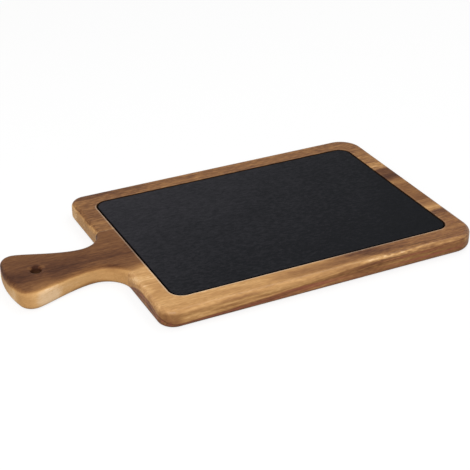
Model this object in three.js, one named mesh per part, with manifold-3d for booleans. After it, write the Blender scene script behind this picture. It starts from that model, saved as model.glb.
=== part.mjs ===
// Serving board: three acacia staves glued edge to edge, the middle one running out into a paddle handle
// with a hanging hole, and a slate plate bedded on dabs of adhesive in a recess routed into the top.
// Millimetres, +Z up. The origin is the middle of the overall length and width, on the resting face.
// +X runs from the handle towards the far end, and +Y towards the back.

import * as THREE from "three";
import { mergeVertices, toCreasedNormals } from "three/addons/utils/BufferGeometryUtils.js";
import Module from "manifold-3d";

// Board
const BODY_LENGTH = 275; // without the handle
const BODY_WIDTH = 200;
const THICKNESS = 15;
const NEAR_CORNER_RADIUS = 13; // the two corners beside the handle, seen from above
const FAR_CORNER_RADIUS = 20; // the two corners at the far end
const EDGE_RADIUS = 4; // round-over along the top and bottom edges

// Handle
const HANDLE_LENGTH = 85; // from the end of the board to the tip
const TIP_WIDTH = 63; // widest place, near the tip
const NECK_WIDTH = 34.5; // narrowest place, at the shoulders
const SHOULDER_RADIUS = 20; // hollow between the neck and the end of the board
const TIP_CORNER_RADIUS = 11;
const TIP_BOW_RADIUS = 95; // the tip's end is bowed a little
const TIP_EASE = 8.5; // how long the flank stays level at the tip before it falls to the neck
const NECK_EASE = 18; // how long it runs level into the neck

// Hanging hole
const HOLE_DIAMETER = 8;
const HOLE_FROM_TIP = 24; // tip to the middle of the hole
const HOLE_EDGE_RADIUS = 1;

// Staves and the glue between them
const STAVE_MARGIN = 2; // the middle stave is this much wider than the handle's tip on each side
const GLUE_THICKNESS = 0.2;

// Slate plate, its recess and the adhesive under it
const SIDE_RIM = 17.5; // wood left beside the recess
const END_RIM = 16; // wood left at the two ends of the recess
const RECESS_CORNER_RADIUS = 11;
const RECESS_ARRIS = 0.5; // chamfer that breaks the recess's upper edge
const SLATE_THICKNESS = 5;
const SLATE_GAP = 1; // between the slate and the recess wall, all round
const SLATE_ARRIS = 0.4; // chamfer on the slate's edges
const SLATE_DROP = 0.2; // slate's upper face below the rim
const DAB_DIAMETER = 30;
const DAB_THICKNESS = 0.6;
const DAB_INSET = 36; // slate's edges to the middles of the four outer dabs

// Finishes: colour and roughness
const DARK_HEARTWOOD = [0x76503a, 0.5];
const BROWN_HEARTWOOD = [0x8f6742, 0.5];
const PALE_SAPWOOD = [0xb1855a, 0.5];
const CURED_GLUE = [0xc9a06a, 0.4];
const RIVEN_SLATE = [0x2b2c30, 0.75];
const CURED_ADHESIVE = [0xb9b6ac, 0.45];

// Fineness of the facets, and the angle up to which they are shaded as one smooth surface
const CURVE_STEPS = 8; // an arc gets twice as many
const EDGE_STEPS = 4;
const RIM_STEPS = 2; // on the small round edges of the hole and the dabs
const CHAMFER_STEPS = 1;
const ROUND_STEPS = 32; // round the hole and the dabs
const CREASE_ANGLE = Math.PI / 6;

// Cutters reach this far past the faces they cut
const OVERCUT = 2;

// Places that follow from the sizes
const TIP_X = -(BODY_LENGTH + HANDLE_LENGTH) / 2;
const BODY_START = TIP_X + HANDLE_LENGTH;
const BODY_END = BODY_START + BODY_LENGTH;
const BODY_MIDDLE = (BODY_START + BODY_END) / 2;
const HALF_WIDTH = BODY_WIDTH / 2;
const INNER_SEAM = TIP_WIDTH / 2 + STAVE_MARGIN; // middle stave's face against the glue
const OUTER_SEAM = INNER_SEAM + GLUE_THICKNESS; // outer stave's face against the glue
const RECESS_DEPTH = DAB_THICKNESS + SLATE_THICKNESS + SLATE_DROP;
const RECESS_FLOOR = THICKNESS - RECESS_DEPTH;
const RECESS_LENGTH = BODY_LENGTH - 2 * END_RIM;
const RECESS_WIDTH = BODY_WIDTH - 2 * SIDE_RIM;
const SLATE_LENGTH = RECESS_LENGTH - 2 * SLATE_GAP;
const SLATE_WIDTH = RECESS_WIDTH - 2 * SLATE_GAP;

const wasm = await Module();
wasm.setup();

// A closed geometry as a solid that can be cut.
function solidOf(geometry) {
  const bare = geometry.clone();
  bare.deleteAttribute("normal");
  bare.deleteAttribute("uv");
  const welded = mergeVertices(bare);
  return new wasm.Manifold(
    new wasm.Mesh({
      numProp: 3,
      vertProperties: welded.attributes.position.array,
      triVerts: new Uint32Array(welded.index.array),
    }),
  );
}

// A solid as a geometry, shaded smooth over its round-overs and sharp at its arrises.
function geometryOf(solid) {
  const mesh = solid.getMesh();
  const geometry = new THREE.BufferGeometry();
  geometry.setAttribute("position", new THREE.BufferAttribute(mesh.vertProperties, mesh.numProp));
  geometry.setIndex(new THREE.BufferAttribute(mesh.triVerts, 1));
  return toCreasedNormals(geometry, CREASE_ANGLE);
}

// Outline of board and handle from above. One half runs from the middle of the far end round the back
// edge to the middle of the tip, and the front half is its mirror image.
function boardOutline() {
  const farY = HALF_WIDTH - FAR_CORNER_RADIUS;
  const nearY = HALF_WIDTH - NEAR_CORNER_RADIUS;
  const halfTip = TIP_WIDTH / 2;
  const halfNeck = NECK_WIDTH / 2;
  const neckX = BODY_START - SHOULDER_RADIUS;
  const bowCentre = TIP_X + TIP_BOW_RADIUS;
  const cornerY = halfTip - TIP_CORNER_RADIUS;
  const cornerReach = TIP_BOW_RADIUS - TIP_CORNER_RADIUS; // the corner arc touches the bow from inside
  const cornerTurn = Math.asin(cornerY / cornerReach);
  const cornerX = bowCentre - cornerReach * Math.cos(cornerTurn);

  const half = new THREE.Path();
  half.moveTo(BODY_END, 0);
  half.lineTo(BODY_END, farY);
  half.absarc(BODY_END - FAR_CORNER_RADIUS, farY, FAR_CORNER_RADIUS, 0, Math.PI / 2);
  half.absarc(BODY_START + NEAR_CORNER_RADIUS, nearY, NEAR_CORNER_RADIUS, Math.PI / 2, Math.PI);
  half.absarc(neckX, halfNeck + SHOULDER_RADIUS, SHOULDER_RADIUS, 0, -Math.PI / 2, true);
  half.bezierCurveTo(neckX - NECK_EASE, halfNeck, cornerX + TIP_EASE, halfTip, cornerX, halfTip);
  half.absarc(cornerX, cornerY, TIP_CORNER_RADIUS, Math.PI / 2, Math.PI - cornerTurn);
  half.absarc(bowCentre, 0, TIP_BOW_RADIUS, Math.PI - cornerTurn, Math.PI);

  const back = half.getPoints(CURVE_STEPS);
  const front = back.slice(1, -1).reverse();
  return new THREE.Shape([...back, ...front.map((p) => new THREE.Vector2(p.x, -p.y))]);
}

// Rectangle with round corners, centred on the origin.
function roundedRectangle(length, width, radius) {
  const x = length / 2 - radius;
  const y = width / 2 - radius;
  const shape = new THREE.Shape();
  shape.absarc(x, y, radius, 0, Math.PI / 2);
  shape.absarc(-x, y, radius, Math.PI / 2, Math.PI);
  shape.absarc(-x, -y, radius, Math.PI, 1.5 * Math.PI);
  shape.absarc(x, -y, radius, 1.5 * Math.PI, 2 * Math.PI);
  return shape;
}

// Plate standing on z = 0, its upper and lower edges broken by a round-over, or by a chamfer of one step.
function easedPlate(shape, thickness, ease, steps) {
  const plate = new THREE.ExtrudeGeometry(shape, {
    depth: thickness - 2 * ease,
    curveSegments: CURVE_STEPS,
    bevelThickness: ease,
    bevelSize: ease,
    bevelOffset: -ease,
    bevelSegments: steps,
  });
  return plate.translate(0, 0, ease);
}

// Upright prism from one height to another.
function prism(shape, low, high) {
  const settings = { depth: high - low, curveSegments: CURVE_STEPS, bevelEnabled: false };
  return new THREE.ExtrudeGeometry(shape, settings).translate(0, 0, low);
}

// Turns a half profile, drawn from the axis upwards and back to the axis, about Z.
function turned(profile) {
  return new THREE.LatheGeometry(profile.getPoints(RIM_STEPS), ROUND_STEPS).rotateX(Math.PI / 2);
}

// What the router takes out for the slate: the recess, flared at the top by its broken edge.
function recessCutter() {
  const shape = roundedRectangle(RECESS_LENGTH, RECESS_WIDTH, RECESS_CORNER_RADIUS);
  const pocket = prism(shape, RECESS_FLOOR, THICKNESS + OVERCUT);
  const flare = new THREE.ExtrudeGeometry(shape, {
    depth: OVERCUT,
    curveSegments: CURVE_STEPS,
    bevelThickness: RECESS_ARRIS,
    bevelSize: RECESS_ARRIS,
    bevelSegments: CHAMFER_STEPS,
  });
  flare.translate(0, 0, THICKNESS);
  pocket.translate(BODY_MIDDLE, 0, 0);
  flare.translate(BODY_MIDDLE, 0, 0);
  return solidOf(pocket).add(solidOf(flare));
}

// What the drill takes out of the handle, with both mouths rounded over.
function holeCutter() {
  const radius = HOLE_DIAMETER / 2;
  const mouth = radius + HOLE_EDGE_RADIUS;
  const upper = THICKNESS - HOLE_EDGE_RADIUS;
  const profile = new THREE.Path();
  profile.moveTo(0, -OVERCUT);
  profile.lineTo(mouth, -OVERCUT);
  profile.absarc(mouth, HOLE_EDGE_RADIUS, HOLE_EDGE_RADIUS, -Math.PI / 2, -Math.PI, true);
  profile.absarc(mouth, upper, HOLE_EDGE_RADIUS, Math.PI, Math.PI / 2, true);
  profile.lineTo(mouth, THICKNESS + OVERCUT);
  profile.lineTo(0, THICKNESS + OVERCUT);
  return solidOf(turned(profile).translate(TIP_X + HOLE_FROM_TIP, 0, 0));
}

// The stretch of the shaped wood that lies between two lines along its length.
function strip(wood, low, high) {
  const shape = new THREE.Shape();
  shape.moveTo(TIP_X - OVERCUT, low);
  shape.lineTo(BODY_END + OVERCUT, low);
  shape.lineTo(BODY_END + OVERCUT, high);
  shape.lineTo(TIP_X - OVERCUT, high);
  return geometryOf(wood.intersect(solidOf(prism(shape, -OVERCUT, THICKNESS + OVERCUT))));
}

// Dab of adhesive squeezed flat, its rim bulging between the recess floor and the slate.
function dab() {
  const bulge = DAB_THICKNESS / 2;
  const flat = DAB_DIAMETER / 2 - bulge;
  const profile = new THREE.Path();
  profile.moveTo(0, 0);
  profile.lineTo(flat, 0);
  profile.absarc(flat, bulge, bulge, -Math.PI / 2, Math.PI / 2);
  profile.lineTo(0, DAB_THICKNESS);
  return turned(profile);
}

// A named piece with a finish of its own.
function piece(name, geometry, [color, roughness]) {
  const material = new THREE.MeshStandardMaterial({ color, roughness, metalness: 0 });
  const mesh = new THREE.Mesh(geometry, material);
  mesh.name = name;
  return mesh;
}

// The glued-up blank is shaped, routed and drilled as one, so every stave carries its share of each cut.
const blank = solidOf(easedPlate(boardOutline(), THICKNESS, EDGE_RADIUS, EDGE_STEPS));
const wood = blank.subtract(recessCutter()).subtract(holeCutter());

const board = new THREE.Group();
board.add(
  piece("handle_stave", strip(wood, -INNER_SEAM, INNER_SEAM), DARK_HEARTWOOD),
  piece("back_stave", strip(wood, OUTER_SEAM, HALF_WIDTH + OVERCUT), BROWN_HEARTWOOD),
  piece("front_stave", strip(wood, -HALF_WIDTH - OVERCUT, -OUTER_SEAM), PALE_SAPWOOD),
  piece("back_glue_line", strip(wood, INNER_SEAM, OUTER_SEAM), CURED_GLUE),
  piece("front_glue_line", strip(wood, -OUTER_SEAM, -INNER_SEAM), CURED_GLUE),
);

// The inset stands on the recess floor.
const inset = new THREE.Group();
inset.position.set(BODY_MIDDLE, 0, RECESS_FLOOR);

const slateShape = roundedRectangle(SLATE_LENGTH, SLATE_WIDTH, RECESS_CORNER_RADIUS - SLATE_GAP);
const slateBody = easedPlate(slateShape, SLATE_THICKNESS, SLATE_ARRIS, CHAMFER_STEPS);
const slate = piece("slate_plate", slateBody, RIVEN_SLATE);
slate.position.z = DAB_THICKNESS;
inset.add(slate);

const dabX = SLATE_LENGTH / 2 - DAB_INSET;
const dabY = SLATE_WIDTH / 2 - DAB_INSET;
const dabPlaces = [
  [-dabX, -dabY],
  [dabX, -dabY],
  [0, 0],
  [-dabX, dabY],
  [dabX, dabY],
];
dabPlaces.forEach(([x, y], i) => {
  const mesh = piece(`adhesive_dab_${i + 1}`, dab(), CURED_ADHESIVE);
  mesh.position.set(x, y, 0);
  inset.add(mesh);
});

const servingBoard = new THREE.Group();
servingBoard.name = "serving_board";
servingBoard.add(board, inset);

export default servingBoard;
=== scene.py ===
# %% [markdown]
# # A serving board in acacia and slate
# The board is three staves of acacia glued edge to edge, shaped, drilled and routed as one blank, with a
# slate plate bedded in the recess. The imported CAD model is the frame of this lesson: it gives the main
# sizes and the places, and every piece made here stands where its solid stands. What is added is what a
# plain solid can't show: finer curves, a hole with a hand-sanded mouth, the split face of the slate, and
# the finish of each piece.

# %% Load the frame
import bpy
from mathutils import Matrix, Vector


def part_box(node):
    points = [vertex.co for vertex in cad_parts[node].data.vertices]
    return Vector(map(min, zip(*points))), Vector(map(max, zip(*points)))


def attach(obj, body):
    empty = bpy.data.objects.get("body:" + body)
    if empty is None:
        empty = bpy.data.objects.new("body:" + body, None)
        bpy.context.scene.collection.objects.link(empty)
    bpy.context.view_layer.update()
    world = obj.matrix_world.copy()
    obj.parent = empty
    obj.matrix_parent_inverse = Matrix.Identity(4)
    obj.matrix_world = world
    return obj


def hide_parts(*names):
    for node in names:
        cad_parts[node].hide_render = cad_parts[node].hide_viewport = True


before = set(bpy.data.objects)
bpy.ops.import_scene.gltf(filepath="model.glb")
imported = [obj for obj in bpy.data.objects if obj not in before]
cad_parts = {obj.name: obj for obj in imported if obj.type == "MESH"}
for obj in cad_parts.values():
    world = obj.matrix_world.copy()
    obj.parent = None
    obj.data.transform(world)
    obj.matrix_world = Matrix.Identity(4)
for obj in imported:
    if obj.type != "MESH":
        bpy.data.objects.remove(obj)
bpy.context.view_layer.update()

from types import SimpleNamespace

import bmesh
import bpy
import numpy as np
from mathutils import Matrix, Vector

MM = 0.001

# %% [markdown]
# ## Camera
# The camera stands where the photographer stood: to the left of the front edge, looking down on the board
# from a metre away through a long lens. Its axes are worked out from three angles, so that a change of
# view is a change of one number, and no tracking constraint is needed.

# %% Camera
AZIMUTH = np.radians(-26.805)
ELEVATION = np.radians(29.226)
ROLL = np.radians(0.246)
DISTANCE = 1005 * MM
TARGET = np.array([14.58, 5.52, 0]) * MM
LENS_MM = 94.291

outwards = np.array([np.sin(AZIMUTH), -np.cos(AZIMUTH), 0])
back = np.cos(ELEVATION) * outwards + np.sin(ELEVATION) * np.array([0, 0, 1])
level = np.array([np.cos(AZIMUTH), np.sin(AZIMUTH), 0])
steep = np.cross(back, level)
right = np.cos(ROLL) * level + np.sin(ROLL) * steep
up = np.cos(ROLL) * steep - np.sin(ROLL) * level
camera_axes = np.eye(4)
camera_axes[:3] = np.column_stack([right, up, back, TARGET + DISTANCE * back])

scene = bpy.context.scene
scene.view_settings.view_transform = "Standard"
camera = bpy.data.objects.new("camera", bpy.data.cameras.new("camera"))
camera.data.lens = LENS_MM
camera.matrix_world = Matrix(camera_axes)
scene.collection.objects.link(camera)
scene.camera = camera
print("camera at", np.round(camera_axes[:3, 3], 3), "metres")

# %% [markdown]
# ## Shader maths as Python
# Every finish below is arithmetic on positions: so much darker here, so much paler there. Wiring Math
# nodes by hand hides that arithmetic, so one small class wraps a socket and gives it Python's operators.
# An expression such as `1 - mask` then adds the nodes by itself, and `make` adds any other node.


# %% A socket with operators
class Wire:
    """The output socket of a node. Arithmetic on wires adds Math nodes to the same tree."""

    def __init__(self, tree, socket=None):
        self.tree = tree
        self.socket = socket

    def make(self, kind, settings=None, inputs=None, output=0):
        """Adds a node: settings first, a ramp's stops among them, then values and links. Gives one output."""
        node = self.tree.nodes.new(kind)
        for name, value in (settings or {}).items():
            if name == "stops":
                self.set_stops(node.color_ramp, value)
            else:
                setattr(node, name, value)
        for key, value in (inputs or {}).items():
            if isinstance(value, Wire):
                self.tree.links.new(value.socket, node.inputs[key])
            else:
                node.inputs[key].default_value = value
        return Wire(self.tree, node.outputs[output] if len(node.outputs) else None)

    @staticmethod
    def set_stops(ramp, stops):
        """Gives a colour ramp its stops, each a position and a colour."""
        while len(ramp.elements) < len(stops):
            ramp.elements.new(1)
        for element, (position, colour) in zip(ramp.elements, stops):
            element.position = position
            element.color = colour

    def output(self, name):
        """Another output of the same node."""
        return Wire(self.tree, self.socket.node.outputs[name])

    def maths(self, operation, *values):
        """A Math node on these values."""
        return self.make("ShaderNodeMath", {"operation": operation}, dict(enumerate(values)))

    def __add__(self, other):
        return self.maths("ADD", self, other)

    def __sub__(self, other):
        return self.maths("SUBTRACT", self, other)

    def __mul__(self, other):
        return self.maths("MULTIPLY", self, other)

    def __truediv__(self, other):
        return self.maths("DIVIDE", self, other)

    def __rsub__(self, other):
        return self.maths("SUBTRACT", other, self)

    def __rtruediv__(self, other):
        return self.maths("DIVIDE", other, self)

    __radd__ = __add__
    __rmul__ = __mul__

    def ease(self, low, high):
        """0 below low, 1 above high, and a smooth step between them."""
        inputs = {"Value": self, "From Min": low, "From Max": high}
        return self.make("ShaderNodeMapRange", {"interpolation_type": "SMOOTHSTEP"}, inputs)

    def mixed(self, first, second):
        """The first colour where this wire is 0, the second where it is 1."""
        return self.make("ShaderNodeMix", {"data_type": "RGBA"}, {0: self, 6: first, 7: second}, output=2)

    def noise(self, x, y, z, detail):
        """Smooth noise on three coordinates, each counted in its own feature size, about -1 to 1."""
        place = self.make("ShaderNodeCombineXYZ", inputs={0: x, 1: y, 2: z})
        value = self.make("ShaderNodeTexNoise", inputs={"Vector": place, "Scale": 1, "Detail": detail})
        return (value - 0.5) * 2


print("a wire adds the nodes of its own arithmetic")

# %% Starts and ends of a material


def linear(red, green, blue):
    """A colour seen on screen, 0 to 255 a channel, as linear light, by the curve of the sRGB standard."""
    screen = np.array([red, green, blue]) / 255
    light = np.where(screen <= 0.04045, screen / 12.92, ((screen + 0.055) / 1.055) ** 2.4)
    return (*light.tolist(), 1)


def new_material(name):
    """An empty node material and a wire to start from."""
    material = bpy.data.materials.new(name)
    material.use_nodes = True
    material.node_tree.nodes.clear()
    return material, Wire(material.node_tree)


def surface(wire, inputs):
    """Ends a material in a Principled shader with these inputs."""
    shader = wire.make("ShaderNodeBsdfPrincipled", inputs=inputs)
    wire.make("ShaderNodeOutputMaterial", inputs={"Surface": shader})


print("mid grey on screen is", round(linear(128, 128, 128)[0], 3), "in linear light")

# %% [markdown]
# ## Floor, background and light
# A product photograph is taken in soft light on a white sweep. Here the world lights the board evenly from
# all round, a large lamp stands in front of it to the left, and a smaller one hangs over its far end, where
# the front round-over mirrors it to the camera as a thin pale band. Floor and world are brightened only for
# rays that the camera sees, straight or in a reflection, so the background is white while the light on the
# board stays at a plain level.

# %% Floor
FLOOR_HALF = 3.0
FLOOR_DROP = 0.05 * MM
FLOOR_COLOUR = (0.4, 0.4, 0.4, 1)
FLOOR_SEEN_COLOUR = (0.25, 0.25, 0.25, 1)
FLOOR_SEEN_GLOW = 0.77


def seen(wire):
    """1 for rays from the camera and for reflected and refracted ones, 0 for rays that carry soft light."""
    ray = wire.make("ShaderNodeLightPath", output="Is Camera Ray")
    mirrored = ray.maths("MAXIMUM", ray.output("Is Glossy Ray"), ray.output("Is Transmission Ray"))
    return ray.maths("MAXIMUM", ray, mirrored)


def floor_material():
    """White paper: a diffuse sweep that glows a little where it is looked at, and keeps the shadow."""
    material, wire = new_material("white sweep")
    lit = wire.make("ShaderNodeBsdfDiffuse", inputs={"Color": FLOOR_COLOUR})
    paper = wire.make("ShaderNodeBsdfDiffuse", inputs={"Color": FLOOR_SEEN_COLOUR})
    glow = wire.make("ShaderNodeEmission", inputs={"Strength": FLOOR_SEEN_GLOW})
    shown = wire.make("ShaderNodeAddShader", inputs={0: paper, 1: glow})
    mix = wire.make("ShaderNodeMixShader", inputs={0: seen(wire), 1: lit, 2: shown})
    wire.make("ShaderNodeOutputMaterial", inputs={"Surface": mix})
    return material


corners = np.array([[-1, -1], [1, -1], [1, 1], [-1, 1]]) * FLOOR_HALF
floor_mesh = bpy.data.meshes.new("floor")
floor_mesh.from_pydata(np.column_stack([corners, np.full(4, -FLOOR_DROP)]), [], [[0, 1, 2, 3]])
floor_mesh.materials.append(floor_material())
floor = bpy.data.objects.new("floor", floor_mesh)
scene.collection.objects.link(floor)
print("floor", 2 * FLOOR_HALF, "m wide")

# %% Background and lamps
WORLD_FILL = 0.48
LAMP_AIM = (0.02, 0, 0)

world = bpy.data.worlds.new("studio")
world.use_nodes = True
world.node_tree.nodes.clear()
sky = Wire(world.node_tree)
strength = WORLD_FILL + (1 - WORLD_FILL) * seen(sky)
shade = sky.make("ShaderNodeBackground", inputs={"Color": (1, 1, 1, 1), "Strength": strength})
sky.make("ShaderNodeOutputWorld", inputs={"Surface": shade})
scene.world = world


def add_lamp(name, place, size, power):
    """A square soft lamp at a place, turned to the middle of the board."""
    lamp = bpy.data.objects.new(name, bpy.data.lights.new(name, "AREA"))
    lamp.data.size = size
    lamp.data.energy = power
    lamp.location = place
    lamp.rotation_euler = (Vector(LAMP_AIM) - Vector(place)).to_track_quat("-Z", "Y").to_euler()
    scene.collection.objects.link(lamp)


add_lamp("front lamp", place=(-0.8, -1.2, 1.2), size=1.2, power=23)
add_lamp("far lamp", place=(0.66, 0.26, 1.44), size=0.6, power=4)
print("lamps:", [lamp.name for lamp in bpy.data.lights])

# %% [markdown]
# ## The outline from above
# A maker draws the board's outline once and saws along it: straight sides, round corners, hollow shoulders
# where the handle leaves the board, an S-shaped flank out to the tip, and a tip that is bowed a little.
# A point of the plan is kept as a complex number, x plus i times y. An arc is then a radius times a turning
# number, the front half is the conjugate of the back half, and a quarter turn of the tangent is the normal.

# %% Sizes from the frame
tip_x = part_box("handle_stave")[0].x
body_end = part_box("handle_stave")[1].x
half_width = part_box("back_stave")[1].y
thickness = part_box("handle_stave")[1].z
inner_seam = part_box("handle_stave")[1].y
outer_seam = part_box("back_stave")[0].y
slate_low, slate_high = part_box("slate_plate")

HANDLE_LENGTH = 85 * MM
TIP_WIDTH = 63 * MM
NECK_WIDTH = 34.5 * MM
NEAR_CORNER_RADIUS = 13 * MM
FAR_CORNER_RADIUS = 20 * MM
SHOULDER_RADIUS = 20 * MM
TIP_CORNER_RADIUS = 11 * MM
TIP_BOW_RADIUS = 95 * MM
TIP_EASE = 8.5 * MM
NECK_EASE = 18 * MM
body_start = tip_x + HANDLE_LENGTH
print("board", np.round(np.array([body_end - tip_x, 2 * half_width, thickness]) / MM, 1), "mm")

# %% Plan curves
ARC_STEPS = 24
STRAIGHT_STEP = 5 * MM
SAME_POINT = 1e-7


def line(start, stop):
    """Evenly spaced points from start to stop."""
    steps = int(np.ceil(abs(stop - start) / STRAIGHT_STEP))
    return np.linspace(start, stop, steps + 1)


def arc(centre, radius, start, stop, steps=ARC_STEPS):
    """Points on a circle: the centre plus the radius turned from one angle to another, in degrees."""
    return centre + radius * np.exp(1j * np.radians(np.linspace(start, stop, steps + 1)))


def bezier(a, b, c, d, steps=2 * ARC_STEPS):
    """A cubic curve from a to d, leaving towards b and arriving from c."""
    t = np.linspace(0, 1, steps + 1)
    return (1 - t) ** 3 * a + 3 * (1 - t) ** 2 * t * b + 3 * (1 - t) * t**2 * c + t**3 * d


def joined(*curves):
    """The curves end to end, with the points that two of them share kept once."""
    points = np.concatenate(curves)
    return points[np.abs(points - np.roll(points, 1)) > SAME_POINT]


def outward(path):
    """Unit normals of a closed path that runs anticlockwise: the mean of two steps, turned clockwise."""
    step = np.roll(path, -1) - path
    step /= np.abs(step)
    normal = -1j * (step + np.roll(step, 1))
    return normal / np.abs(normal)


print("a quarter circle is", len(arc(0, 1, 0, 90)), "points")

# %% Outline


def board_outline():
    """Round the back from the far end's middle to the tip's middle, then the mirror image of that."""
    far = body_end - FAR_CORNER_RADIUS + 1j * (half_width - FAR_CORNER_RADIUS)
    near = body_start + NEAR_CORNER_RADIUS + 1j * (half_width - NEAR_CORNER_RADIUS)
    neck = body_start - SHOULDER_RADIUS + 0.5j * NECK_WIDTH
    reach = TIP_BOW_RADIUS - TIP_CORNER_RADIUS
    corner_y = TIP_WIDTH / 2 - TIP_CORNER_RADIUS
    turn = np.degrees(np.arcsin(corner_y / reach))
    corner = tip_x + TIP_BOW_RADIUS - reach * np.cos(np.radians(turn)) + 1j * corner_y
    flank = corner + 1j * TIP_CORNER_RADIUS
    half = joined(
        line(body_end + 0j, far + FAR_CORNER_RADIUS),
        arc(far, FAR_CORNER_RADIUS, 0, 90),
        line(far + 1j * FAR_CORNER_RADIUS, near + 1j * NEAR_CORNER_RADIUS),
        arc(near, NEAR_CORNER_RADIUS, 90, 180),
        line(near - NEAR_CORNER_RADIUS, neck + SHOULDER_RADIUS + 1j * SHOULDER_RADIUS),
        arc(neck + 1j * SHOULDER_RADIUS, SHOULDER_RADIUS, 0, -90),
        bezier(neck, neck - NECK_EASE, flank + TIP_EASE, flank),
        arc(corner, TIP_CORNER_RADIUS, 90, 180 - turn),
        arc(tip_x + TIP_BOW_RADIUS, TIP_BOW_RADIUS, 180 - turn, 180),
    )
    return np.concatenate([half, np.conj(half[-2:0:-1])])


def rounded_rectangle(centre, length, width, radius):
    """Four quarter circles joined by straight sides."""
    x = length / 2 - radius
    y = width / 2 - radius
    middles = [x + 1j * y, -x + 1j * y, -x - 1j * y, x - 1j * y]
    rounds = [arc(centre + middle, radius, 90 * i, 90 * i + 90) for i, middle in enumerate(middles)]
    sides = [line(rounds[i][-1], rounds[(i + 1) % 4][0]) for i in range(4)]
    return joined(*[curve for pair in zip(rounds, sides) for curve in pair])


outline = board_outline()
print("outline of", len(outline), "points")

# %% [markdown]
# ## The shaped blank
# A router with a rounding bit runs round the board above and below, a straight bit clears the recess, and a
# drill makes the hanging hole, whose mouths are sanded round. Each of those cuts is a profile carried along
# a path, so one function makes them all: row by row, the path is moved inwards by the profile's inset and
# lifted to its height. What is left open, the flat faces, is filled with triangles.

# %% Profiles of the cuts
EDGE_RADIUS = 4 * MM
EDGE_STEPS = 10
LAND = 1.2 * MM  # flat strip beside a round edge, which keeps the shading of the flat face flat
RECESS_ARRIS = 0.5 * MM
HOLE_EDGE_RADIUS = 2 * MM  # sanded by hand, so rounder than the mouth of the solid
SMALL_STEPS = 4


def quarter(radius, steps):
    """A quarter circle that leaves a flat face and ends on a side: insets and drops below the face."""
    angle = np.linspace(0, np.pi / 2, steps + 1)
    return radius * (1 - np.sin(angle)), radius * (1 - np.cos(angle))


def edge_profile():
    """Down over the upper round-over, along the side and under: insets and heights."""
    inset, drop = quarter(EDGE_RADIUS, EDGE_STEPS)
    side = np.array([EDGE_RADIUS + LAND])
    insets = np.concatenate([[inset[0] + LAND], inset, [0, 0], inset[::-1], [inset[0] + LAND]])
    heights = np.concatenate([[thickness], thickness - drop, thickness - side, side, drop[::-1], [0]])
    return insets, heights


def mouth_profile(radius, low, high, both):
    """Down a wall whose upper edge, and lower edge too if it is open there, is rounded over."""
    inset, drop = quarter(radius, SMALL_STEPS)
    insets = np.concatenate([[inset[0] + LAND], inset])
    heights = np.concatenate([[high], high - drop])
    if both:
        return np.concatenate([insets, insets[::-1]]), np.concatenate([heights, (low + high - heights)[::-1]])
    return np.append(insets, 0), np.append(heights, low)


print("edge profile of", len(edge_profile()[0]), "points")

# %% Rings of points


def carried(path, insets, heights):
    """A grid of points: row i is the path moved inwards, against its normals, by inset i, at height i."""
    plan = path[None, :] - outward(path)[None, :] * insets[:, None]
    lift = np.broadcast_to(heights[:, None], plan.shape)
    return np.stack([plan.real, plan.imag, lift], axis=-1)


def ring_quads(rows, columns):
    """Quads between the neighbouring rows of a grid whose rows are closed rings."""
    first = np.arange(rows * columns).reshape(rows, columns)
    beside = np.roll(first, -1, axis=1)
    return np.stack([first[:-1], first[1:], beside[1:], beside[:-1]], axis=-1).reshape(-1, 4)


def opened(points, faces):
    """Points and faces as a mesh that can still be cut and filled."""
    draft = bpy.data.meshes.new("draft")
    draft.from_pydata(points, [], faces)
    bm = bmesh.new()
    bm.from_mesh(draft)
    bpy.data.meshes.remove(draft)
    return bm


print("two rings of four points make", len(ring_quads(2, 4)), "quads")

# %% Blank
SLATE_GAP = 1 * MM
RECESS_CORNER_RADIUS = 11 * MM
HOLE_RADIUS = 4 * MM
HOLE_FROM_TIP = 24 * MM
HOLE_STEPS = 64
recess_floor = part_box("adhesive_dab_1")[0].z


def cut_grids():
    """The outer edge, the recess and the hole, each as a grid of rings from the top down."""
    hole = tip_x + HOLE_FROM_TIP + HOLE_RADIUS * np.exp(2j * np.pi * np.arange(HOLE_STEPS) / HOLE_STEPS)
    size = slate_high - slate_low
    centre = (slate_low.x + slate_high.x) / 2
    recess = rounded_rectangle(centre, size.x + 2 * SLATE_GAP, size.y + 2 * SLATE_GAP, RECESS_CORNER_RADIUS)
    hole_insets, hole_heights = mouth_profile(HOLE_EDGE_RADIUS, 0, thickness, True)
    recess_insets, recess_heights = mouth_profile(RECESS_ARRIS, recess_floor, thickness, False)
    return [
        carried(outline, *edge_profile()),
        carried(recess, -recess_insets, recess_heights),
        carried(hole, -hole_insets, hole_heights),
    ]


def fill_flat(bm, rings, normal):
    """Triangles in the flat face that the closed rings of vertices bound."""
    edges = [bm.edges.get((a, b)) for ring in rings for a, b in zip(ring, ring[1:] + ring[:1])]
    bmesh.ops.triangle_fill(bm, edges=edges, use_beauty=True, normal=normal)


def shaped_blank():
    """The whole board in one closed mesh: outer edge, recess wall and hole, and the flats between them."""
    grids = cut_grids()
    starts = np.cumsum([0] + [grid[..., 0].size for grid in grids])
    points = np.concatenate([grid.reshape(-1, 3) for grid in grids])
    quads = np.concatenate([ring_quads(*grid.shape[:2]) + start for grid, start in zip(grids, starts)])
    bm = opened(points, quads)
    verts = list(bm.verts)
    tops = [verts[start : start + grid.shape[1]] for grid, start in zip(grids, starts)]
    edge_foot, recess_foot, hole_foot = [
        verts[stop - grid.shape[1] : stop] for grid, stop in zip(grids, starts[1:])
    ]
    fill_flat(bm, tops, (0, 0, 1))
    fill_flat(bm, [edge_foot, hole_foot], (0, 0, -1))
    fill_flat(bm, [recess_foot], (0, 0, 1))
    bmesh.ops.recalc_face_normals(bm, faces=bm.faces)
    return bm


blank = shaped_blank()
print("blank:", len(blank.faces), "faces,", sum(edge.is_boundary for edge in blank.edges), "open edges")

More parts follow.
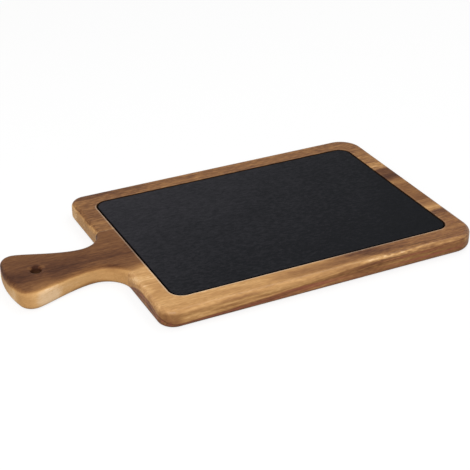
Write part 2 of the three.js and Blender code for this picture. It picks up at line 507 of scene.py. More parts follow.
# %% [markdown]
# ## Staves and glue lines
# The real blank was glued up first and shaped afterwards, so every stave carries its share of each cut. The
# same order works here: the finished blank is sliced along the two glue lines, and each slice is closed
# with flat faces where it was cut. The two slices between the staves are the cured films of glue.

# %% A finished piece
SHARP_ANGLE = np.radians(40)


def add_piece(bm, name, node):
    """A finished mesh as an object that rides on the root body and stands for its CAD node."""
    bmesh.ops.recalc_face_normals(bm, faces=bm.faces)
    mesh = bpy.data.meshes.new(name)
    bm.to_mesh(mesh)
    bm.free()
    mesh.polygons.foreach_set("use_smooth", np.ones(len(mesh.polygons), bool))
    mesh.set_sharp_from_angle(angle=SHARP_ANGLE)
    piece = bpy.data.objects.new(name, mesh)
    scene.collection.objects.link(piece)
    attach(piece, "root")
    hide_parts(node)
    return piece


print("edges sharper than", round(np.degrees(SHARP_ANGLE)), "degrees stay sharp")

# %% Slices of the blank
ON_THE_CUT = 1e-8


def cut(bm, y, side):
    """Keeps the part of a mesh on one side of an upright plane along the board, and closes the cut."""
    parts = bm.verts[:] + bm.edges[:] + bm.faces[:]
    plane = {"plane_co": (0, y, 0), "plane_no": (0, -side, 0)}
    made = bmesh.ops.bisect_plane(bm, geom=parts, dist=ON_THE_CUT, clear_outer=True, **plane)
    rim = [part for part in made["geom_cut"] if isinstance(part, bmesh.types.BMEdge)]
    bmesh.ops.triangle_fill(bm, edges=rim, use_beauty=True, normal=(0, -side, 0))


def slice_of_blank(low, high, name, node):
    """The stretch of the blank between two lines along its length."""
    bm = blank.copy()
    if low is not None:
        cut(bm, low, 1)
    if high is not None:
        cut(bm, high, -1)
    return add_piece(bm, name, node)


handle_wood = slice_of_blank(-inner_seam, inner_seam, "handle_stave_wood", "handle_stave")
back_wood = slice_of_blank(outer_seam, None, "back_stave_wood", "back_stave")
front_wood = slice_of_blank(None, -outer_seam, "front_stave_wood", "front_stave")
back_film = slice_of_blank(inner_seam, outer_seam, "back_glue_film", "back_glue_line")
front_film = slice_of_blank(-outer_seam, -inner_seam, "front_glue_film", "front_glue_line")
blank.free()
for piece in (handle_wood, back_wood, front_wood, back_film, front_film):
    print(piece.name, len(piece.data.polygons), "faces")

# %% [markdown]
# ## Slate plate
# Slate is split, not sawn, so its face is a field of low ledges that run roughly along the plate, and its
# edges are nibbled where the layers broke away. A bump map alone would leave the face flat at a grazing
# look. Here the face is a height over a grid of two parameters, fine near the edges, where the height falls
# in a small round.

# %% Ripples
GRAIN_LATTICE = 64
SLATE_SEED = 11


def smooth(t):
    """A smooth step from 0 to 1: three t squared less two t cubed."""
    return t**2 * (3 - 2 * t)


def ripples(x, y, length, width, layer):
    """Random heights on a lattice of length by width, joined by smooth steps, between -1 and 1."""
    heights = np.random.default_rng(SLATE_SEED + layer).uniform(-1, 1, (GRAIN_LATTICE, GRAIN_LATTICE))
    u = x / length + GRAIN_LATTICE / 2
    v = y / width + GRAIN_LATTICE / 2
    i = np.floor(u).astype(int)
    j = np.floor(v).astype(int)
    s = smooth(u - i)
    t = smooth(v - j)
    near = heights[i % GRAIN_LATTICE, j % GRAIN_LATTICE] * (1 - s)
    near += heights[(i + 1) % GRAIN_LATTICE, j % GRAIN_LATTICE] * s
    far = heights[i % GRAIN_LATTICE, (j + 1) % GRAIN_LATTICE] * (1 - s)
    far += heights[(i + 1) % GRAIN_LATTICE, (j + 1) % GRAIN_LATTICE] * s
    return near * (1 - t) + far * t


print("a smooth step is halfway up at", smooth(0.5))

# %% Relief of the split face
BROAD_LEDGES = {"length": 52 * MM, "width": 30 * MM, "layer": 1}
FINE_LEDGES = {"length": 17 * MM, "width": 7 * MM, "layer": 2}
SWELLS = {"length": 60 * MM, "width": 45 * MM, "layer": 3}
SCRATCHES = {"length": 9 * MM, "width": 3 * MM, "layer": 4}
FINE_SCRATCHES = {"length": 4 * MM, "width": 1.8 * MM, "layer": 5}
BROAD_STEPS = 1.6
FINE_STEPS = 0.7
TREAD_SHARE = 0.35
RISER_SHARE = 0.3
LEDGE_HEIGHT = 0.045 * MM
SWELL_HEIGHT = 0.05 * MM
SCRATCH_DEPTH = 0.03 * MM
FINE_SCRATCH_DEPTH = 0.02 * MM


def ledges(x, y):
    """Layers broken off in steps: a slow height is cut into treads, joined by short smooth risers."""
    slow = BROAD_STEPS * ripples(x, y, **BROAD_LEDGES) + FINE_STEPS * ripples(x, y, **FINE_LEDGES)
    tread = np.floor(slow)
    riser = np.clip((slow - tread - TREAD_SHARE) / RISER_SHARE, 0, 1)
    return tread + smooth(riser)


def split_face(x, y):
    """Height of the split face about its mean: broad swells, ledges, and short scratches along the grain."""
    swell = SWELL_HEIGHT * ripples(x, y, **SWELLS)
    scratch = SCRATCH_DEPTH * ripples(x, y, **SCRATCHES)
    fine_scratch = FINE_SCRATCH_DEPTH * ripples(x, y, **FINE_SCRATCHES)
    return swell + LEDGE_HEIGHT * ledges(x, y) + scratch + fine_scratch


print("relief", np.round(split_face(np.linspace(-0.1, 0.1, 5), np.zeros(5)) / MM, 3), "mm")

# %% Plan of the plate
SLATE_CORNER_RADIUS = RECESS_CORNER_RADIUS - SLATE_GAP
SLATE_STEP = 1.1 * MM
EDGE_BAND = 1.2 * MM
EDGE_LINES = 6
EDGE_CROWDING = 1.5
half_length = (slate_high.x - slate_low.x) / 2
half_breadth = (slate_high.y - slate_low.y) / 2


def spread(half):
    """Grid lines from -half to half, evenly spaced, and closer together in a band along both ends."""
    band = half - EDGE_BAND * (np.arange(EDGE_LINES + 1) / EDGE_LINES) ** EDGE_CROWDING
    inner = half - EDGE_BAND
    middle = np.linspace(-inner, inner, int(2 * inner / SLATE_STEP))
    return np.concatenate([-band, middle[1:-1], band[::-1]])


def plate_plan():
    """Grid over the plate: each row is as long as the plate is at that width, which rounds the corners."""
    s, t = np.meshgrid(spread(half_length), spread(half_breadth))
    into_corner = np.clip(np.abs(t) - (half_breadth - SLATE_CORNER_RADIUS), 0, SLATE_CORNER_RADIUS)
    row_half = half_length - SLATE_CORNER_RADIUS + np.sqrt(SLATE_CORNER_RADIUS**2 - into_corner**2)
    return s * row_half / half_length, t


def from_edge(x, y):
    """Distance in from the plate's edge: from the nearest side or, in a corner, from its round."""
    over_x = np.clip(np.abs(x) - (half_length - SLATE_CORNER_RADIUS), 0, None)
    over_y = np.clip(np.abs(y) - (half_breadth - SLATE_CORNER_RADIUS), 0, None)
    to_round = SLATE_CORNER_RADIUS - np.hypot(over_x, over_y)
    to_side = np.minimum(half_length - np.abs(x), half_breadth - np.abs(y))
    return np.where((over_x > 0) & (over_y > 0), to_round, to_side)


print("grid of", plate_plan()[0].shape, "points")

# %% Slate plate
CHIPS = {"length": 6 * MM, "width": 6 * MM, "layer": 6}
CHIP_LEAST = 0.35 * MM
CHIP_MOST = 0.9 * MM


def slate_face():
    """The split face, which falls near its edge in a round of varying radius, the chipped arris."""
    x, y = plate_plan()
    chips = np.clip(ripples(x, y, **CHIPS), 0, 1) ** 2
    fall = CHIP_LEAST + (CHIP_MOST - CHIP_LEAST) * chips
    short = np.clip(fall - from_edge(x, y), 0, fall)
    rounded = fall - np.sqrt(fall**2 - short**2)
    relief = split_face(x, y)
    upper = slate_high.z + relief - relief.max() - rounded
    return x + (slate_low.x + slate_high.x) / 2, y, upper


def closed_plate(x, y, upper, lower):
    """A height field closed into a plate: the field, its shadow at the lower height, and a wall between."""
    rows, columns = x.shape
    top = np.stack([x, y, upper], axis=-1).reshape(-1, 3)
    foot = np.stack([x, y, np.full_like(x, lower)], axis=-1).reshape(-1, 3)
    index = np.arange(rows * columns).reshape(rows, columns)
    around = [index[:-1, :-1], index[:-1, 1:], index[1:, 1:], index[1:, :-1]]
    quads = np.stack(around, axis=-1).reshape(-1, 4)
    rim = np.concatenate([index[0, :-1], index[:-1, -1], index[-1, :0:-1], index[:0:-1, 0]])
    ahead = np.roll(rim, -1)
    below = rows * columns
    wall = np.stack([rim, rim + below, ahead + below, ahead], axis=-1)
    return opened(np.concatenate([top, foot]), np.concatenate([quads, quads[:, ::-1] + below, wall]))


slate = add_piece(closed_plate(*slate_face(), slate_low.z), "slate_inset", "slate_plate")
print("slate:", len(slate.data.polygons), "faces")

# %% [markdown]
# ## Adhesive dabs
# Five dabs of adhesive were pressed flat when the slate was laid in. Each is a flattened drop whose outline
# wanders, because a pressed drop never spreads evenly. The angle round its middle and the turn over its rim
# are the two parameters of its surface, and a few slow waves round the outline do the rest.

# %% Adhesive dabs
DAB_COUNT = 5
DAB_TURNS = 48
DAB_RINGS = 10
DAB_WOBBLE = 0.09
DAB_WAVES = np.array([2, 3, 5])


def dab_points(low, high, seed):
    """A half circle as high as the dab, swept round the middle at a radius that swells in a few waves."""
    angle = np.linspace(0, 2 * np.pi, DAB_TURNS, endpoint=False)
    phases = np.random.default_rng(seed).uniform(0, 2 * np.pi, len(DAB_WAVES))
    wave = np.cos(DAB_WAVES[:, None] * angle + phases[:, None]).mean(axis=0)
    radius = (high.x - low.x) / 2 * (1 - DAB_WOBBLE + DAB_WOBBLE * wave)
    bulge = (high.z - low.z) / 2
    turn = np.linspace(np.pi / 2, -np.pi / 2, DAB_RINGS)[:, None]
    out = radius[None, :] + bulge * (np.cos(turn) - 1)
    centre = (low + high) / 2
    lift = np.broadcast_to(centre.z + bulge * np.sin(turn), out.shape)
    return np.stack([centre.x + out * np.cos(angle), centre.y + out * np.sin(angle), lift], axis=-1)


def dab(number):
    """One dab: its rim as a grid of rings, its two flat faces as single polygons."""
    node = f"adhesive_dab_{number}"
    grid = dab_points(*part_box(node), number)
    rows, columns = grid.shape[:2]
    first = np.arange(columns)
    ends = [first[::-1].tolist(), (first + (rows - 1) * columns).tolist()]
    bm = opened(grid.reshape(-1, 3), ring_quads(rows, columns).tolist() + ends)
    return add_piece(bm, f"pressed_dab_{number}", node)


dabs = [dab(number) for number in range(1, DAB_COUNT + 1)]
print(len(dabs), "dabs of", len(dabs[0].data.polygons), "faces")

# %% [markdown]
# ## Acacia
# Acacia is told by its contrast: purple-brown heartwood beside pale tan sapwood, with lengthwise streaks
# that follow the growth rings. A stave is a piece of a log, so its finish is worked out in the log. The
# distance from the log's axis, the pith, says how deep a point lies inside the line between sapwood and
# heartwood, and each log has its own tones from ring to ring. Because the pattern fills the wood, it runs
# over the round-overs and down the sides, and the ends show the same rings cut across.
#
# A log is described in millimetres of the board, by these words:
# - pith: y and z of the axis at the middle of the board, and lean: how far it moves over each 100 mm
# - sap_line: radius of the heartwood towards the handle, then towards the far end, and the two places along
#   the board between which it changes, and wander: how far that line strays
# - rings: tone, 0 dark to 1 pale, at a depth inside the line, and fade: tone gained over each 100 mm
# - years: contrast and thickness of the thin layers that follow the rings
# - figure: strength of the fine lines along the fibres, and blush: strength of the reddish ones
# - streaks: lighter or darker places, some painted light, each with its x, length, y, z, reach and shift of
#   tone
# - gloss: mirror strength of the wood, and polish: weight of the oil that gathers on its round edges

# %% Tones of acacia
ACACIA_TONES = [
    (0.0, linear(64, 38, 27)),
    (0.2, linear(95, 61, 40)),
    (0.4, linear(126, 86, 54)),
    (0.6, linear(157, 113, 70)),
    (0.8, linear(193, 146, 93)),
    (0.9, linear(215, 169, 113)),
    (1.0, linear(240, 204, 160)),
]
print(len(ACACIA_TONES), "tones from heartwood to sapwood")

# %% Log of the handle stave
HANDLE_LOG = {
    "pith": (36, 400),
    "lean": (0, 0),
    "sap_line": (389.9, 396.3, -80, 190),
    "wander": 0.4,
    "rings": [
        (-6, 0.9), (-3, 0.89), (-1.4, 0.85), (0.6, 0.39), (1.2, 0.32), (2.2, 0.19), (3.4, 0.24),
        (4.6, 0.35), (6, 0.38), (7.7, 0.42), (9.5, 0.38), (10.7, 0.24), (11.8, 0.16), (13, 0.2),
    ],
    "fade": 0.02,
    "years": (0.26, 1.8),
    "figure": 0.45,
    "blush": 0.1,
    "streaks": {
        "tip": [
            (-156, 18, -28, 8, 16, 0.13),
            (-172, 12, -26, 7, 12, -0.05),
            (-180, 3.5, -14, 8, 20, 0.11),
            (-160, 60, 0, 14, 28, -0.06),
        ],
        "flank and shoulder": [
            (-133, 18, -21, 11, 8, 0.04),
            (-108, 16, -22, 15, 6, -0.16),
            (-106, 26, -28, 9, 16, -0.06),
            # painted shade: darker along the lower edge of the flank, for the shade next to the floor
            (-122, 30, -18, 0, 6, -0.25),
            (-118, 16, 14, 15, 6, -0.08),
        ],
        # painted light: two paler patches beside the hole for highlights on its rounded mouth, a darker one
        # behind it for shade
        "painted light round the hole": [
            (-159.6, 2.6, 4.2, 14.5, 3.4, 0.11),
            (-149.8, 2.6, 2, 14.5, 3.6, 0.14),
            (-154.4, 4.2, 5.4, 14.5, 3, -0.22),
        ],
        "far end": [
            (175, 90, 15.5, 15, 6.5, -0.24),
            (175, 60, 4.5, 15, 6, 0.16),
            (175, 60, 33.5, 15, 3.4, 0.42),
        ],
    },
    "gloss": 0.04,
    "polish": 0,
}
print("handle stave: sapwood line", HANDLE_LOG["sap_line"][0], "mm from the pith")

# %% Log of the back stave
BACK_LOG = {
    "pith": (70, 600),
    "lean": (0, 0),
    "sap_line": (586.5, 588.4, -60, 150),
    "wander": 0.4,
    "rings": [(-6, 0.76), (-0.6, 0.76), (0.4, 0.38), (1, 0.46), (2.4, 0.42), (3.5, 0.44), (5, 0.5)],
    "fade": 0,
    "years": (0.3, 1.2),
    "figure": 1,
    "blush": 0.05,
    "streaks": {
        "handle's end": [
            (-60, 60, 92, 15, 10, -0.08),
            (-88, 20, 44, 15, 9, 0.06),
            (-94, 14, 86, 9, 14, 0.12),
            (-88, 16, 56, 15, 9, -0.09),
        ],
        "far end": [
            (185, 90, 39, 15, 8, 0.28),
            (172, 40, 53, 15, 12, 0.12),
        ],
    },
    "gloss": 0.055,
    "polish": 0,
}
print("back stave: sapwood line", BACK_LOG["sap_line"][0], "mm from the pith")

# %% Log of the front stave
FRONT_LOG = {
    "pith": (-71, -63.2),
    "lean": (-3, 0),
    "sap_line": (74.4, 81.8, -70, 130),
    "wander": 1,
    "rings": [
        (-9, 0.81), (-4, 0.82), (-2.4, 0.76), (-1.3, 0.78), (-0.5, 0.72), (0.5, 0.5),
        (1.2, 0.43), (3, 0.42), (5, 0.51), (8, 0.53), (14, 0.47),
    ],
    "fade": 0,
    "years": (0.85, 1.7),
    "figure": 0.78,
    "blush": 0.9,
    "streaks": {
        "rim and far end": [
            # the next two: a pale streak along the front round-over, partly pale figure, partly a painted
            # highlight from the lamps
            (140, 105, -98.5, 13.9, 1.7, 0.2),
            (170, 150, -99.5, 13.5, 4.5, 0.1),
            (185, 120, -36, 15, 12, -0.33),
            (32, 52, -92, 16, 9, -0.2),
            (72, 40, -90, 16, 8, -0.2),
        ],
        "front side": [
            (-68, 24, -100, 10.4, 1.9, -0.14),
            (-66, 22, -100, 8.5, 1.6, 0.04),
            (-62, 16, -100, 5.8, 1.6, 0.09),
            (-42, 20, -100, 8, 1.6, -0.18),
            (-42, 16, -100, 5.1, 1.6, -0.15),
            (-30, 34, -100, 12.4, 2.2, -0.14),
            (-8, 24, -100, 9.2, 1.6, -0.15),
            (-4, 24, -100, 11.2, 1.6, 0.05),
            (22, 30, -100, 4.5, 2.4, 0.08),
            (50, 30, -100, 8.6, 4, 0.16),
            (60, 20, -99, 13.4, 2, -0.2),
            (80, 20, -100, 6.6, 2.2, -0.13),
            (98, 26, -99, 13.2, 2, 0.18),
            (145, 45, -100, 8.4, 4, -0.12),
        ],
        "near corner and shoulder": [
            (-89, 13, -99, 8.5, 7, -0.27),
            (-95, 12, -93, 9.6, 6.5, -0.17),
            (-92, 30, -57, 0, 12, -0.18),
            (-92, 30, -73, 0, 12, -0.14),
            (-95, 14, -46, 14, 9, 0.06),
            (-95, 10, -62, 13, 11, 0.12),
        ],
    },
    "gloss": 0.06,
    "polish": 0.3,
}
print("front stave: sapwood line", FRONT_LOG["sap_line"][0], "mm from the pith")

# %% [markdown]
# ## Places and rings in the log
# The shader asks of every point where it lies in the log. A real trunk isn't a perfect cylinder: its fibres
# sway and its sapwood line strays, so slow noise moves the point before the distance from the pith is taken.
# The rings could be a texture on the surface, but then they would stop at every edge.

# %% Places in the wood
LOG_STEP = 977  # millimetres between the staves' stretches of noise, so that no two share a pattern
SWAY = (22, 11, 3)
SWAY_ACROSS = 1.1
SWAY_UP = 0.9


def millimetres(wire):
    """The Object coordinates of the point being shaded, in millimetres."""
    place = wire.make("ShaderNodeTexCoord", output="Object")
    metres = wire.make("ShaderNodeSeparateXYZ", inputs={0: place})
    return metres / MM, metres.output("Y") / MM, metres.output("Z") / MM


def hypotenuse(a, b):
    """Root of the sum of two squares."""
    return a.maths("SQRT", a * a + b * b)


def drawn_out(place, feature):
    """Noise drawn out along x: a feature is so long, so wide across, and has so many octaves of detail."""
    x, y, z = place
    length, width, detail = feature
    return x.noise(x / length, y / width, z / width, detail)


def place_in_log(wire, seed):
    """A point on the board, the same in its own stretch of noise, and the same moved as the fibres sway."""
    x, y, z = millimetres(wire)
    straight = (x + LOG_STEP * seed, y, z)
    sway = drawn_out(straight, SWAY)
    swayed = (straight[0], y + SWAY_ACROSS * sway, z + SWAY_UP * sway)
    return SimpleNamespace(x=x, y=y, z=z, straight=straight, swayed=swayed)


print("fibres sway by up to", SWAY_ACROSS, "mm")

# %% Rings
SLOW_STRAY = (90, 26, 1)
QUICK_STRAY = (20, 8, 1)
QUICK_SHARE = 0.4
RING_LOW = -10
RING_HIGH = 40


def ring_depth(at, log):
    """Depth inside the sapwood line: the line's radius less the distance from the pith, plus its wander."""
    hundreds = at.x / 100
    pith_y, pith_z = log["pith"]
    lean_y, lean_z = log["lean"]
    side, height = at.swayed[1:]
    from_pith = hypotenuse(side - pith_y - lean_y * hundreds, height - pith_z - lean_z * hundreds)
    near, far, start, stop = log["sap_line"]
    radius = near + (far - near) * at.x.ease(start, stop)
    stray = drawn_out(at.straight, SLOW_STRAY) + QUICK_SHARE * drawn_out(at.straight, QUICK_STRAY)
    return radius - from_pith + log["wander"] * stray


def ring_tone(depth, rings):
    """Tone at a depth: a grey ramp serves as a curve through the tones of the rings."""
    span = RING_HIGH - RING_LOW
    stops = [((place - RING_LOW) / span, (tone, tone, tone, 1)) for place, tone in rings]
    return depth.make("ShaderNodeValToRGB", {"stops": stops}, {0: (depth - RING_LOW) / span})


print("rings are known from", RING_LOW, "to", RING_HIGH, "mm inside the line")

# %% [markdown]
# ## Streaks and figure
# On the rings lie the marks of growth that make one board differ from the next: pale and dark streaks, thin
# layers of the years, and the fine bands, lines and flecks of the fibres. A few streaks are painted light
# instead:
# highlights and shade at the hole's mouth, shade along a lower edge, and a highlight along the front
# round-over.
# Each is a shift of tone, and they are simply added up. Dark wood shows layers and figure more than pale
# wood, so the ring weighs those two.

# %% Streaks and figure
JAG = (5, 8, 1)
JAG_REACH = 0.8
STREAK_CORE = 0.3
LAYER_LENGTH = 160
LAYER_WIDTH = 60
LAYER_DETAIL = 3
BANDS = (140, 5, 2)
LINES = (30, 1.5, 2)
FLECKS = (5, 1.3, 1)
FIBRE = (22, 0.6, 2)
BAND_WEIGHT = 0.12
LINE_WEIGHT = 0.15
FLECK_WEIGHT = 0.19
FIBRE_WEIGHT = 0.1
DARK_GAIN = 2.6
PALE_LOSS = 2.3


def streak_shift(at, groups):
    """Sum of a log's streaks: each is a long drop of tone that fades with the distance from its middle."""
    jag = JAG_REACH * drawn_out(at.straight, JAG)
    side = at.swayed[1] + jag
    height = at.swayed[2] + jag
    total = 0
    for place, length, at_y, at_z, reach, shift in sum(groups.values(), []):
        across = hypotenuse(side - at_y, height - at_z)
        away = hypotenuse((at.x - place) / length, across / reach)
        total = total + shift * (1 - away.ease(STREAK_CORE, 1))
    return total


def figure(at, fibre):
    """Bands, lines and flecks along the fibres, and the fibres themselves, each with its weight."""
    coarse = BAND_WEIGHT * drawn_out(at.swayed, BANDS) + LINE_WEIGHT * drawn_out(at.swayed, LINES)
    return coarse + FLECK_WEIGHT * drawn_out(at.swayed, FLECKS) + FIBRE_WEIGHT * fibre


def wood_tone(at, log, fibre):
    """The ring's own tone, and that tone with streaks, layers and figure added."""
    depth = ring_depth(at, log)
    ring = ring_tone(depth, log["rings"])
    tone = ring + log["fade"] * (at.x / 100) + streak_shift(at, log["streaks"])
    contrast, year = log["years"]
    layers = depth.noise(depth / year, at.straight[0] / LAYER_LENGTH, at.y / LAYER_WIDTH, LAYER_DETAIL)
    tone = tone + contrast * (1 - ring) * layers
    return ring, tone + log["figure"] * (DARK_GAIN - PALE_LOSS * ring) * figure(at, fibre)


print("a layer of the front stave is", FRONT_LOG["years"][1], "mm thick")

# %% [markdown]
# ## Colour, painted light at the cuts, and oil
# The tone becomes a colour on the ramp of acacia. Reddish streaks run low in the dark rings, and pores are
# short dark dashes. Light and shade at the cuts are painted into the colour as well: painted shade darkens
# the wall of the recess and the wall of the hole, and a painted highlight lightens the upper arris of the
# recess on the sides that face the light. A mask for each could be painted, but a distance from the cut
# places it exactly. Oil is a clear coat, and shows on the round edge that mirrors the lamp.

# %% Reddish streaks and pores
RED_BLUSH = linear(158, 90, 74)
PORE_DARK = linear(58, 36, 28)
PORE_STRENGTH = 0.4
PORES = (5, 0.5, 1)
PORE_SPREAD = (0.3, 0.6)
REDS = (80, 1.8, 2)
RED_SPREAD = (-0.1, 0.5)
RED_LEAST = 0.05
RED_GAIN = 1.35
RED_LOSS_ABOVE = 0.8
top = thickness / MM
red_band = (top - 6, top - 1)


def reddened(at, colour, ring, blush):
    """Reddish streaks mixed into the dark rings, fading towards the top of the board."""
    reds = drawn_out(at.swayed, REDS).ease(*RED_SPREAD)
    low = 1 - RED_LOSS_ABOVE * at.z.ease(*red_band)
    return (blush * (RED_LEAST + RED_GAIN * reds) * (1 - ring) * low).mixed(colour, RED_BLUSH)


print("red streaks fade between", np.round(red_band, 1), "mm above the underside")

# %% Painted highlight and shade at the cuts
# a painted highlight on the upper arris of the recess, paler on pale wood, weaker on the far and back sides
ARRIS_HIGHLIGHT = linear(226, 208, 186)
HIGHLIGHT_LEAST = 0.1
HIGHLIGHT_IN_PALE = 0.35
HIGHLIGHT_START = (0.1, 0.4)
HIGHLIGHT_END = (0.9, 1.6)
FAR_SIDE = (155, 160)
BACK_SIDE = (74, 79)
SHADED_LOSS = 0.8
# painted shade: the walls of the recess and the hole are painted dark where shade falls in them
RECESS_WALL_SHADE = linear(24, 15, 11)
HOLE_WALL_SHADE = linear(62, 37, 26)
WALL_SHADE = 0.9
WALL_SHADE_REACH = (0, 0.4)
arris_highlight_band = (top - 1, top - 0.4)
wall_shade_top = (top - 0.4, top - 0.05)
wall_shade_foot = (recess_floor / MM - 3, recess_floor / MM - 1)


def beside_cuts(x, y):
    """Distances outside the recess and outside the hanging hole, in millimetres.

    The recess is a rectangle with round corners: a smaller rectangle, widened all round by the radius."""
    middle = (slate_low + slate_high) / 2 / MM
    straight = (slate_high - slate_low) / 2 / MM
    shrink = SLATE_CORNER_RADIUS / MM
    over_x = x.maths("MAXIMUM", x.maths("ABSOLUTE", x - middle.x) - (straight.x - shrink), 0)
    over_y = y.maths("MAXIMUM", y.maths("ABSOLUTE", y) - (straight.y - shrink), 0)
    recess = hypotenuse(over_x, over_y) - RECESS_CORNER_RADIUS / MM
    hole = hypotenuse(x - (tip_x + HOLE_FROM_TIP) / MM, y) - HOLE_RADIUS / MM
    return recess, hole


def painted_light_at_cuts(at, colour, ring):
    """A painted highlight on the upper arris of the recess, least at the far and back sides, and painted
    shade on the walls of the recess and the hole.
    """
    recess, hole = beside_cuts(at.x, at.y)
    shaded = at.x.maths("MAXIMUM", at.x.ease(*FAR_SIDE), at.y.ease(*BACK_SIDE))
    beside = recess.ease(*HIGHLIGHT_START) * (1 - recess.ease(*HIGHLIGHT_END))
    arris = beside * at.z.ease(*arris_highlight_band) * (1 - SHADED_LOSS * shaded)
    # painted highlight: the arris is mixed towards a pale colour where it would catch the light
    colour = ((HIGHLIGHT_LEAST + HIGHLIGHT_IN_PALE * ring) * arris).mixed(colour, ARRIS_HIGHLIGHT)
    # painted shade on the wall of the recess, then on the wall of the hole
    below = 1 - at.z.ease(*wall_shade_top)
    recess_shade_mask = WALL_SHADE * below * at.z.ease(*wall_shade_foot) * (1 - recess.ease(*WALL_SHADE_REACH))
    colour = recess_shade_mask.mixed(colour, RECESS_WALL_SHADE)
    return (WALL_SHADE * below * (1 - hole.ease(*WALL_SHADE_REACH))).mixed(colour, HOLE_WALL_SHADE)


# the painted highlight on the arris starts this far below the top
print("the arris is worn from", np.round(arris_highlight_band[0], 1), "mm up")

# %% Acacia
WOOD_ROUGHNESS = 0.46
FIBRE_ROUGHNESS = 0.08
PORE_ROUGHNESS = 0.1
FIBRE_RELIEF = 0.3
WOOD_RELIEF = {"Strength": 0.25, "Distance": 0.08 * MM}
OIL_ROUGHNESS = 0.25
oil_foot = (top - 4, top - 2)
oil_top = (top - 0.12, top - 0.02)


def acacia(name, seed, log):
    """Wood of one stave: tone to colour, red streaks, pores, painted light at the cuts, and oil on its round
    edge.
    """
    material, wire = new_material(name)
    at = place_in_log(wire, seed)
    fibre = drawn_out(at.swayed, FIBRE)
    pores = drawn_out(at.swayed, PORES).ease(*PORE_SPREAD)
    ring, tone = wood_tone(at, log, fibre)
    colour = wire.make("ShaderNodeValToRGB", {"stops": ACACIA_TONES}, {0: tone})
    colour = reddened(at, colour, ring, log["blush"])
    colour = (PORE_STRENGTH * pores).mixed(colour, PORE_DARK)
    bump = wire.make("ShaderNodeBump", inputs={"Height": fibre * FIBRE_RELIEF - pores} | WOOD_RELIEF)
    finish = {
        "Base Color": painted_light_at_cuts(at, colour, ring),
        "Roughness": WOOD_ROUGHNESS + FIBRE_ROUGHNESS * fibre + PORE_ROUGHNESS * pores,
        "Normal": bump,
        "Specular IOR Level": log["gloss"],
    }
    if log["polish"]:
        finish["Coat Weight"] = log["polish"] * at.z.ease(*oil_foot) * (1 - at.z.ease(*oil_top))
        finish["Coat Roughness"] = OIL_ROUGHNESS
    surface(wire, finish)
    return material


handle_wood.data.materials.append(acacia("dark acacia", 1, HANDLE_LOG))
back_wood.data.materials.append(acacia("brown acacia", 2, BACK_LOG))
front_wood.data.materials.append(acacia("pale acacia", 3, FRONT_LOG))
for piece in (handle_wood, back_wood, front_wood):
    print(piece.active_material.name, len(piece.active_material.node_tree.nodes), "nodes")

# %% [markdown]
# ## Slate
# Slate is nearly black and quite matt, with a faint cloudiness and grey scratches along the split. A painted
# sheen makes the face paler towards the back left corner, and painted shade makes its broken edge blacker
# than its face, for the shade in the gap round the plate. The colour is noise at the scale of the real stone,
# sent through a ramp of three greys, and the same scratches give the bump and the roughness.

# %% Slate
SLATE_GREYS = [(0, linear(12, 14, 16)), (0.5, linear(28, 29, 32)), (1, linear(55, 54, 58))]
# near black painted along the plate's edge: painted shade for the gap round it
SLATE_EDGE_SHADE = linear(6, 5, 5)
CLOUDS = (40, 30, 3)
STONE_SCRATCHES = (4, 2, 3)
TOOTH = (1.4, 0.7, 2)
SLATE_MEAN = 0.64
SHEEN_DRIFT_WEIGHT = 0.24
SHEEN_DRIFT_ACROSS = 160
SHEEN_DRIFT_ALONG = 240
CLOUD_WEIGHT = 0.1
SCRATCH_WEIGHT = 0.34
TOOTH_WEIGHT = 0.2
TOOTH_RELIEF = 0.4
SLATE_RELIEF = {"Strength": 0.4, "Distance": 0.1 * MM}
SLATE_ROUGHNESS = 0.66
SCRATCH_ROUGHNESS = 0.12
SLATE_GLOSS = 0.02
EDGE_SHADE_REACH = (-2, -1.3)
edge_shade_heights = (slate_high.z / MM - 0.9, slate_high.z / MM - 0.45)


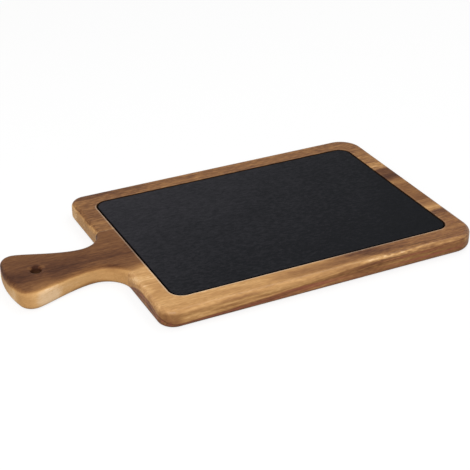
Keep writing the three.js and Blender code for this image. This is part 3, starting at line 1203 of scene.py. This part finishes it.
def riven_slate():
    """Near-black stone with a painted sheen towards one corner: clouds, short scratches, a fine tooth,
    painted shade at the edges.
    """
    material, wire = new_material("riven slate")
    x, y, z = millimetres(wire)
    scratches = drawn_out((x, y, z), STONE_SCRATCHES)
    tooth = drawn_out((x, y, z), TOOTH)
    # painted sheen: the tone drifts paler towards the back left corner, as of a reflection
    tone = SLATE_MEAN + SHEEN_DRIFT_WEIGHT * (y / SHEEN_DRIFT_ACROSS - x / SHEEN_DRIFT_ALONG)
    tone = tone + CLOUD_WEIGHT * drawn_out((x, y, z), CLOUDS)
    tone = tone + SCRATCH_WEIGHT * scratches + TOOTH_WEIGHT * tooth
    colour = wire.make("ShaderNodeValToRGB", {"stops": SLATE_GREYS}, {0: tone})
    # painted shade: the slate is painted near black in a band along its edge
    inside = 1 - beside_cuts(x, y)[0].ease(*EDGE_SHADE_REACH)
    colour = (z.ease(*edge_shade_heights) * inside).mixed(SLATE_EDGE_SHADE, colour)
    bump = wire.make("ShaderNodeBump", inputs={"Height": scratches + TOOTH_RELIEF * tooth} | SLATE_RELIEF)
    roughness = SLATE_ROUGHNESS + SCRATCH_ROUGHNESS * scratches
    finish = {"Base Color": colour, "Roughness": roughness, "Normal": bump}
    surface(wire, finish | {"Specular IOR Level": SLATE_GLOSS})
    return material


slate.data.materials.append(riven_slate())
print(slate.active_material.name, len(slate.active_material.node_tree.nodes), "nodes")

# %% [markdown]
# ## Glue and adhesive
# The two glue films show as hairlines: the back one has yellowed and is mottled, the front one has browned
# until it hardly differs from the wood. The adhesive is a grey putty that nobody sees until the slate is
# lifted. All three are cured resins, so one function makes them, mottled between two tones.

# %% Glue and adhesive
RESIN_DETAIL = 3
MOTTLE_CONTRAST = 0.8
MOTTLE_ROUGHNESS = 0.1
RESIN_RELIEF = {"Strength": 0.3, "Distance": 0.1 * MM}


def cured_resin(name, pale, deep, roughness, size):
    """A cured resin, mottled between two tones by noise of one size in millimetres."""
    material, wire = new_material(name)
    mottle = drawn_out(millimetres(wire), (size, size, RESIN_DETAIL))
    colour = (0.5 + MOTTLE_CONTRAST * mottle).mixed(pale, deep)
    bump = wire.make("ShaderNodeBump", inputs={"Height": mottle} | RESIN_RELIEF)
    dullness = roughness + MOTTLE_ROUGHNESS * mottle
    surface(wire, {"Base Color": colour, "Roughness": dullness, "Normal": bump})
    return material


yellowed = cured_resin("yellowed glue", linear(235, 203, 160), linear(96, 62, 40), roughness=0.45, size=3)
browned = cured_resin("browned glue", linear(196, 148, 96), linear(150, 106, 68), roughness=0.45, size=3)
putty = cured_resin("grey putty", linear(190, 187, 176), linear(160, 156, 145), roughness=0.5, size=4)
back_film.data.materials.append(yellowed)
front_film.data.materials.append(browned)
for piece in dabs:
    piece.data.materials.append(putty)
print("resins:", yellowed.name, browned.name, putty.name)
